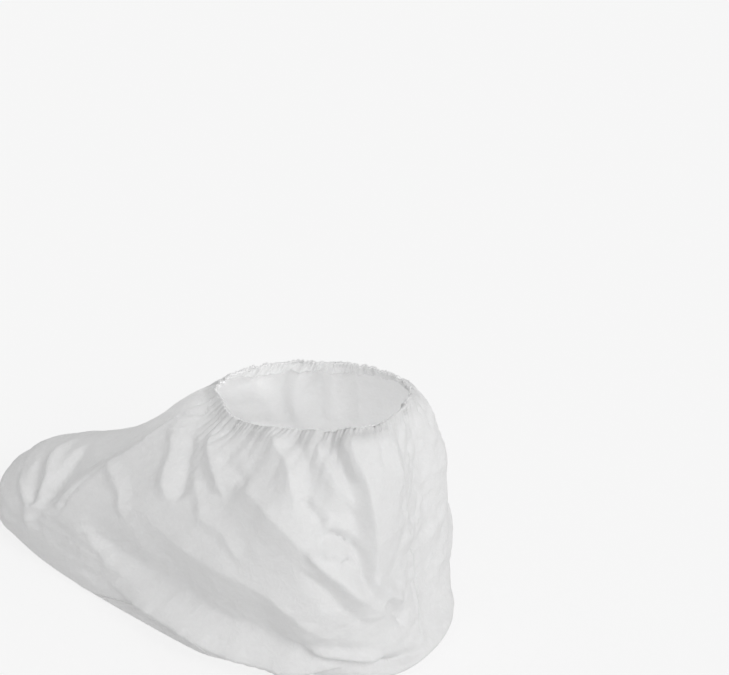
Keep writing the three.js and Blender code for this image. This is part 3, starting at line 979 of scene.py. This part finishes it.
@dataclass
class ElasticHem:
    """The band turned in behind the rim and rolled over it, finely pleated on its elastic."""

    form: CoverForm
    columns: int = 760
    height: float = 9.0
    thickness: float = 0.25
    inside: float = -0.7
    outside: float = 0.15
    lip: float = 0.3
    stand_off: float = 2.2
    rise_points: int = 14
    roll_points: int = 9
    fall_points: int = 4
    pleats: int = 124
    pleat_depth: float = 0.8
    # Sideways drift of the pleats as waves of (size, turns), and how much their depth swings and how often.
    pleat_drifts: tuple[tuple[float, int], ...] = ((1.3, 9), (0.8, 17))
    pleat_swing: float = 0.25
    pleat_swing_turns: int = 23
    # Share of a pleat's depth that shows outside, and how far pleats lift the rolled edge, over this height.
    outside_share: float = 0.4
    crown_lift: float = 0.8
    crown_reach: float = 1.0
    flat_size: tuple[float, float] = (0.6, 0.012)

    def profile(self) -> tuple[Array, Array]:
        """Closed cross-section of the band: up the inside, half a circle over the rim and down to the lip,
        and back one thickness away.

        Returns:
            Offset outward and height over the rim of each point, in mm.
        """
        middle = (self.inside + self.outside) / 2.0
        radius = (self.outside - self.inside) / 2.0
        rise = np.linspace(-self.height, 0.0, self.rise_points)
        roll = np.linspace(math.pi, 0.0, self.roll_points)[1:-1]
        fall = np.linspace(0.0, -self.lip, self.fall_points)
        up, down = np.full(rise.shape, -radius), np.full(fall.shape, radius)
        offset = np.concatenate([up, radius * np.cos(roll), down])
        level = np.concatenate([rise, radius * np.sin(roll), fall])
        across = unit(np.stack([-np.gradient(level), np.gradient(offset)], -1))
        half = self.thickness / 2.0
        outer = np.stack([offset, level], -1) + across * half
        inner = np.stack([offset, level], -1) - across * half
        loop = np.concatenate([outer, inner[::-1]])
        return loop[:, 0] + middle, loop[:, 1]

    def build(self) -> bpy.types.Object:
        """Carries the cross-section round the rim, swelled outwards and inwards by fine uneven pleats |sin|.
        Below the rim the band stands off the wall, in proportion to the distance down.

        Returns:
            The piece, undressed.
        """
        around = np.arange(self.columns)[:, None] / self.columns
        offset, level = self.profile()
        reach = self.form.rim_reach(around) + level[None, :]
        points, outward = self.form.cloth(around, reach)
        angle = 2.0 * math.pi * around
        phase = 0.5 * self.pleats * angle
        for size, turns in self.pleat_drifts:
            phase = phase + size * np.sin(turns * angle)
        swing = np.sin(self.pleat_swing_turns * angle)
        puff = np.abs(np.sin(phase)) * (1.0 - self.pleat_swing + self.pleat_swing * swing)
        inward = np.clip(offset / self.inside, -self.outside_share, 1.0)[None, :]
        lean = self.stand_off * np.clip(-level / self.height, 0.0, 1.0)[None, :]
        swell = -self.pleat_depth * puff * inward - lean
        points = points + outward * (offset[None, :] + swell)[..., None]
        crown = smoothstep(level, -self.crown_reach, self.crown_reach)[None, :]
        points[..., 2] += self.crown_lift * crown * (puff - 0.5)
        faces = tube_faces(self.columns, len(offset))
        # The band and the roll are the same cloth as the upper, coloured greyer as painted shade: the band
        # more, the roll a little.
        band = NonwovenFinish("flash_spun_nonwoven_hem_painted_shade", "#F4F4F4", "#EAEAEA", crease_mm=3.0, through=0.15)
        roll = NonwovenFinish("flash_spun_nonwoven_rim_painted_shade", "#F8F8F8", "#F2F2F2", crease_mm=3.0, through=0.05)
        piece = mesh_piece("elastic_hem_band", points.reshape(-1, 3), faces, band.material())
        piece.data.materials.append(roll.material())
        slots = np.tile(level > -self.lip - self.thickness, self.columns).astype(np.int32)
        piece.data.polygons.foreach_set("material_index", slots)
        return piece

    def dress(self, piece: bpy.types.Object) -> None:
        """Args:
            piece: the piece that build made.
        """
        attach(piece, BODY)
        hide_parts("elastic_hem")


@dataclass
class Sole:
    """The grip panel: flat on the floor, curling up at the sides, with a diamond lattice under it."""

    form: CoverForm
    ribs: int = 330
    edge_points: int = 26
    middle_points: int = 90
    thickness: float = 0.7
    sewn_gap: float = 0.2
    edge: float = 6.0
    lattice_long: float = 6.0
    lattice_wide: float = 4.0
    lattice_height: float = 0.3
    flat_size: tuple[float, float] = (0.185, 0.325)
    flat_area: float = 0.044

    def lattice(self, points: Array) -> Array:
        """Share of the lattice's height: 1 on two sets of crossing lines, falling to 0 between them.

        Args:
            points: ribs of points, shape (ribs, points, 3). Distance across the foot is taken along a rib.

        Returns:
            The share at each point.
        """
        steps = np.linalg.norm(np.diff(points, axis=1), axis=-1)
        run = np.concatenate([np.zeros((len(points), 1)), np.cumsum(steps, 1)], 1)
        along = points[..., 0] / self.lattice_long
        across = (run - run[:, -1:] / 2.0) / self.lattice_wide
        first = np.cos(math.pi * (along + across)) ** 2
        second = np.cos(math.pi * (along - across)) ** 2
        return np.maximum(first, second) ** 2

    def build(self) -> bpy.types.Object:
        """Builds the panel from ribs across the foot: each runs down one edge, over the floor and up again.

        Returns:
            The piece, undressed.
        """
        rib = (np.arange(self.ribs) + 0.5)[:, None] / self.ribs / 2.0
        edge = np.linspace(0.0, 1.0, self.edge_points)[None, :]
        middle = np.linspace(0.0, 1.0, self.middle_points + 2)[1:-1][None, :, None]
        sides = []
        for around in (rib, 1.0 - rib):
            seam = self.form.seam_reach(around)
            flat = np.minimum(0.0, seam) - self.edge
            reach = seam - self.sewn_gap + (flat - seam + self.sewn_gap) * edge
            sides.append((self.form.smooth(around, reach), self.form.outward(around, reach)))
        (near, near_out), (far, far_out) = sides
        floor = near[:, -1:] + (far[:, -1:] - near[:, -1:]) * middle
        down = np.zeros_like(floor)
        down[..., 2] = -1.0
        skin = np.concatenate([near, floor, far[:, ::-1]], 1)
        outward = np.concatenate([near_out, down, far_out[:, ::-1]], 1)
        share = self.lattice(skin)
        outer = skin + outward * (self.lattice_height * (share - 1.0))[..., None]
        inner = skin - outward * (self.lattice_height + self.thickness)
        count = share.size
        index = np.arange(count).reshape(share.shape)
        quads = sheet_faces(*share.shape)
        border = np.concatenate([index[:, 0], index[-1, 1:], index[-2::-1, -1], index[0, -2:0:-1]])
        follow = np.roll(border, -1)
        rim = np.stack([border, border + count, follow + count, follow], -1)
        faces = np.concatenate([quads[:, ::-1], quads + count, rim[:, ::-1]])
        points = np.concatenate([outer.reshape(-1, 3), inner.reshape(-1, 3)])
        finish = GripFinish("coated_nonwoven_grip")
        piece = mesh_piece("grip_sole_panel", points, faces, finish.material())
        tone = piece.data.attributes.new("lattice", "FLOAT", "POINT")
        tone.data.foreach_set("value", np.concatenate([share.ravel(), share.ravel()]).astype(np.float32))
        return piece

    def dress(self, piece: bpy.types.Object) -> None:
        """Args:
            piece: the piece that build made.
        """
        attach(piece, BODY)
        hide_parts("sole")


@dataclass
class Stitching:
    """Sewing thread on the outside: a zigzag under the rim, the heel seam and the sole seam."""

    form: CoverForm
    thread_radius: float = 0.2
    rings: int = 5
    sides: int = 6
    # Of a stitch, in radii: height of its bow, depth of its ends in the cloth, and radius at the ends. Then
    # the share of its length that is left out at each needle hole.
    bow: float = 1.6
    sink: float = 0.6
    end_radius: float = 0.6
    hole_gap: float = 0.08
    # Stitches of the hem and heel lines, needle holes of each sole line, and where the lines run: the zigzag
    # between two distances below the rim and the sole lines above their seam, in mm, and the heel line's
    # shift from its seam and the ends of the sole lines, in turns round the foot.
    hem_stitches: int = 300
    zigzag: tuple[float, float] = (2.6, 5.2)
    heel_stitches: int = 58
    heel_shift: float = -0.004
    sole_holes: int = 78
    sole_spans: tuple[tuple[str, float, float], ...] = (("near", 0.13, 0.4), ("far", 0.6, 0.87))
    sole_rise: float = 2.2

    def threads(self, start: Array, end: Array, normal: Array) -> tuple[Array, Array]:
        """Stitches as short bowed tubes: each follows a straight line from start to end, arched outwards as
        4s(1 - s) and thinned towards its ends.

        Args:
            start: first points, shape (k, 3).
            end: last points.
            normal: outward directions.

        Returns:
            Points, shape (k * rings * sides, 3), and quads.
        """
        s = np.linspace(0.0, 1.0, self.rings)[None, :, None]
        arch = 4.0 * s * (1.0 - s)
        line = start[:, None] * (1.0 - s) + end[:, None] * s
        line = line + normal[:, None] * (self.thread_radius * (self.bow * arch - self.sink))
        across = unit(np.cross(normal, end - start))
        angle = np.linspace(0.0, 2.0 * math.pi, self.sides, endpoint=False)
        radius = self.thread_radius * (self.end_radius + (1.0 - self.end_radius) * arch)
        cosine, sine = np.cos(angle)[:, None], np.sin(angle)[:, None]
        ring = across[:, None, None] * cosine + normal[:, None, None] * sine
        points = line[:, :, None] + ring * radius[:, :, None]
        index = np.arange(points.size // 3).reshape(points.shape[:3])
        beside = np.roll(index, -1, 2)
        quads = np.stack([index[:, :-1], beside[:, :-1], beside[:, 1:], index[:, 1:]], -1).reshape(-1, 4)
        return points.reshape(-1, 3), quads

    def sewn(self, name: str, around: Array, reach: Array) -> bpy.types.Object:
        """Makes one line of stitches, each from a place to the next but for a small gap.

        Args:
            name: name of the piece.
            around: places round the foot of the needle holes.
            reach: their distances along the cloth.

        Returns:
            The piece, undressed.
        """
        points, outward = self.form.cloth(around, reach)
        start, end = points[:-1], points[1:]
        inset = self.hole_gap * (end - start)
        vertices, faces = self.threads(start + inset, end - inset, outward[:-1])
        return mesh_piece(name, vertices, faces, ThreadFinish("spun_polyester_thread").material())

    def build(self) -> list[bpy.types.Object]:
        """Builds the zigzag under the rim, the heel seam's line, and a line along each side of the sole.

        Returns:
            The pieces, undressed.
        """
        hole = np.arange(self.hem_stitches + 1)
        around = hole / self.hem_stitches
        below = np.where(hole % 2 == 0, *self.zigzag)
        pieces = [self.sewn("hem_zigzag_stitches", around, self.form.rim_reach(around) - below)]
        around, reach = self.form.path(HEEL_SEAM.path, HEEL_SEAM.side, self.heel_stitches)
        pieces.append(self.sewn("heel_seam_stitches", around + self.heel_shift, reach))
        for side, start, end in self.sole_spans:
            around = np.linspace(start, end, self.sole_holes)
            reach = self.form.seam_reach(around) + self.sole_rise
            pieces.append(self.sewn(f"sole_seam_stitches_{side}", around, reach))
        return pieces

    def dress(self, pieces: list[bpy.types.Object]) -> None:
        """Args:
            pieces: the lines of stitches.
        """
        for piece in pieces:
            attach(piece, BODY)


class Lamp(NamedTuple):
    """A far soft light: the angles of its place from +X towards +Y and of its height, its strength, and the
    angle that it looks wide."""

    name: str
    round_from_x: float
    height: float
    strength: float
    width: float


@dataclass
class Studio:
    """Pale floor, two soft lights from the heel end, a small lamp hidden inside, a nearly even surround, and
    the camera."""

    floor_half: float = 9000.0
    floor_points: int = 9
    floor_level: float = -0.4
    lamps: tuple[Lamp, ...] = (
        Lamp("key", math.radians(-30.0), math.radians(35.0), 1.0, math.radians(25.0)),
        Lamp("heel", 0.0, math.radians(15.0), 0.14, math.radians(25.0)))
    sky: float = 0.58
    ground: float = 0.63
    horizon: float = 0.2
    fill_place: tuple[float, float, float] = (64.0, -46.0, 72.0)
    fill_turn: tuple[float, float, float] = (math.radians(108.0), 0.0, math.radians(14.0))
    fill_power: float = 0.3
    fill_cone: float = math.radians(140.0)
    fill_blend: float = 0.7
    fill_size: float = 25.0
    camera_place: tuple[float, float, float] = (681.85, -1031.57, 804.24)
    camera_turn: tuple[float, float, float] = (math.radians(63.57), 0.0, math.radians(28.53))
    lens: float = 101.8
    sensor: float = 36.0

    def light(self, lamp: Lamp) -> None:
        """Adds one far light, whose local Z axis points back at where it stands.

        Args:
            lamp: the light.
        """
        sun = bpy.data.lights.new(lamp.name, "SUN")
        sun.energy = lamp.strength
        sun.angle = lamp.width
        holder = bpy.data.objects.new(lamp.name, sun)
        holder.rotation_euler = (0.0, math.pi / 2.0 - lamp.height, lamp.round_from_x)
        bpy.context.scene.collection.objects.link(holder)

    def fill(self) -> None:
        """Adds the lamp inside the cover, out of the camera's sight, that lights the far wall's inside."""
        spot = bpy.data.lights.new("fill", "SPOT")
        spot.energy = self.fill_power
        spot.spot_size = self.fill_cone
        spot.spot_blend = self.fill_blend
        spot.shadow_soft_size = self.fill_size * MM
        holder = bpy.data.objects.new("fill", spot)
        holder.location = [value * MM for value in self.fill_place]
        holder.rotation_euler = self.fill_turn
        bpy.context.scene.collection.objects.link(holder)

    def surround(self) -> bpy.types.World:
        """Makes the surround: near the horizon the sky's strength changes evenly to the ground's.

        Returns:
            The world.
        """
        world = bpy.data.worlds.new("studio_surround")
        world.use_nodes = True
        tree = world.node_tree
        tree.nodes.clear()
        way = add_node(tree, "ShaderNodeTexCoord", {}).outputs["Generated"]
        parts = add_node(tree, "ShaderNodeSeparateXYZ", {"Vector": way})
        tone = add_node(tree, "ShaderNodeMapRange", {
            "Value": parts.outputs["Z"], "From Min": -self.horizon, "From Max": self.horizon,
            "To Min": self.ground, "To Max": self.sky})
        shade = add_node(tree, "ShaderNodeBackground", {
            "Strength": tone.outputs[0], "Color": linear("#FFFFFF")})
        add_node(tree, "ShaderNodeOutputWorld", {"Surface": shade.outputs[0]})
        return world

    def build(self) -> None:
        """Sets the floor, lights and camera."""
        scene = bpy.context.scene
        scene.view_settings.view_transform = "Standard"
        side = np.linspace(-self.floor_half, self.floor_half, self.floor_points)
        x, y = np.meshgrid(side, side, indexing="ij")
        points = np.stack([x, y, np.full_like(x, self.floor_level)], -1).reshape(-1, 3)
        quads = sheet_faces(self.floor_points, self.floor_points)
        floor = mesh_piece("floor", points, quads, FloorFinish("studio_sweep").material())
        for bounce in ("visible_diffuse", "visible_glossy", "visible_transmission", "visible_shadow"):
            setattr(floor, bounce, False)
        for lamp in self.lamps:
            self.light(lamp)
        self.fill()
        scene.world = self.surround()
        lens = bpy.data.cameras.new("camera")
        lens.sensor_width = self.sensor
        lens.lens = self.lens
        camera = bpy.data.objects.new("camera", lens)
        camera.location = [value * MM for value in self.camera_place]
        camera.rotation_euler = self.camera_turn
        scene.collection.objects.link(camera)
        scene.camera = camera


def main() -> None:
    """Builds the pieces in order, dresses them and sets the studio."""
    logging.basicConfig(level=logging.INFO, format="%(message)s")
    Studio().build()
    form = CoverForm()
    for assembly in (Upper(form), ElasticHem(form), Sole(form), Stitching(form)):
        made = assembly.build()
        assembly.dress(made)
        for piece in made if isinstance(made, list) else [made]:
            LOG.info("%s: %d faces", piece.name, len(piece.data.polygons))


if __name__ == "__main__":
    main()
